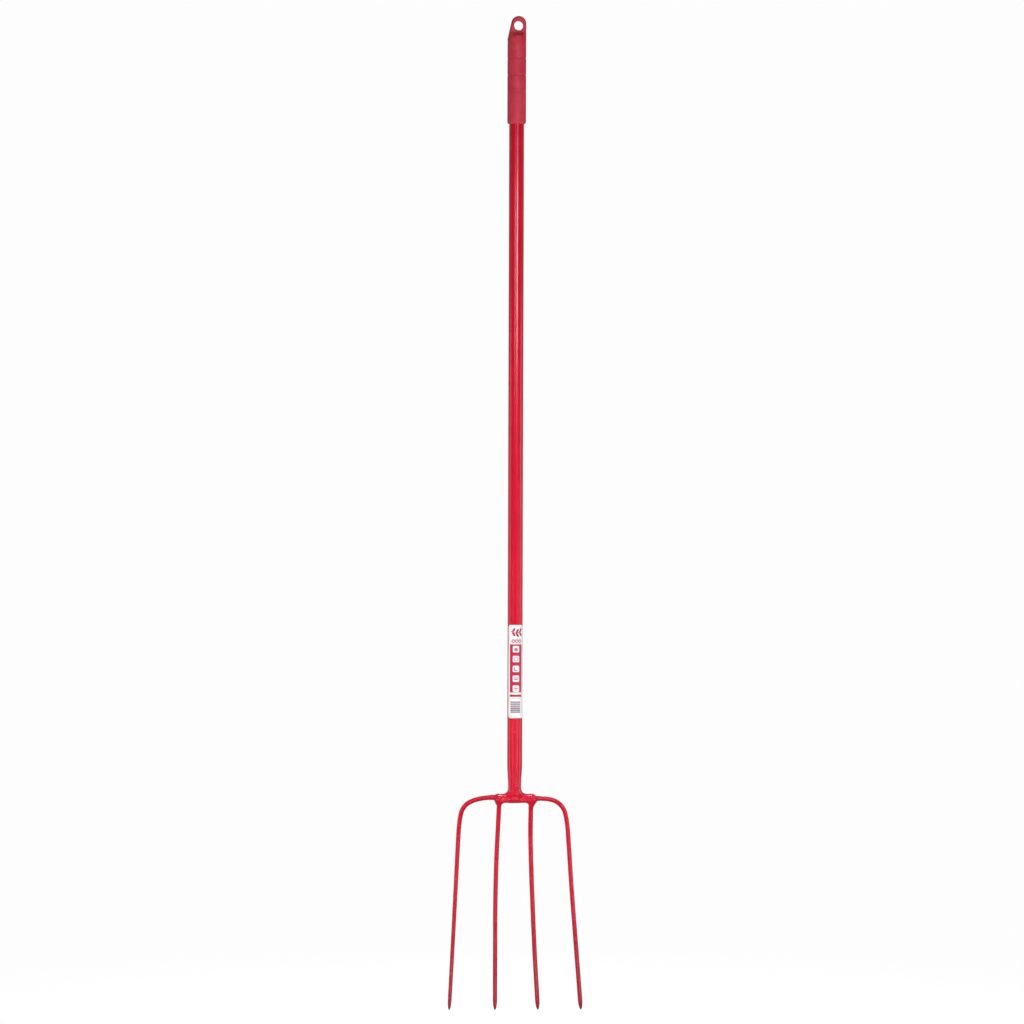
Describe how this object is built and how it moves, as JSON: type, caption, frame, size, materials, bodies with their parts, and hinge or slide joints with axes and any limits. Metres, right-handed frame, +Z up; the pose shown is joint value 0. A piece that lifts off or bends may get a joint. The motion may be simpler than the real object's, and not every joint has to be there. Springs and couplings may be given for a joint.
{
  "type": "manure fork",
  "caption": "Long-handled muck fork: straight steel tube shaft with a moulded end grip and hanging eye, wrapped label, and a welded head of slender dished tines.",
  "frame": {"origin": "centre of the hanging eye in the flattened end of the grip, where a hook holds the fork", "axes": "+Z up along the shaft, away from the tines; -Y to the front, where the tine tips curve to; X across the head"},
  "size_m": [0.2186, 0.0622, 1.6201],
  "materials": {
    "grip_plastic": "fine moulded texture",
    "red_paint": "gloss powder coat",
    "weld_paint": "gloss powder coat over rippled weld",
    "bare_steel": "mill",
    "label_film": "printed film"
  },
  "bodies": {
    "root": {"grip": "grip_plastic", "shaft_tube": "red_paint", "label": "label_film", "tang": "bare_steel", "tang_rivet": "red_paint", "crossbar": "red_paint", "neck_weld": "weld_paint", "tine_outer_left": "red_paint", "tine_outer_right": "red_paint", "tine_inner_left": "red_paint", "tine_inner_right": "red_paint", "shoulder_weld_left": "weld_paint", "shoulder_weld_right": "weld_paint", "root_weld_left": "weld_paint", "root_weld_right": "weld_paint"}
  },
  "joints": []
}
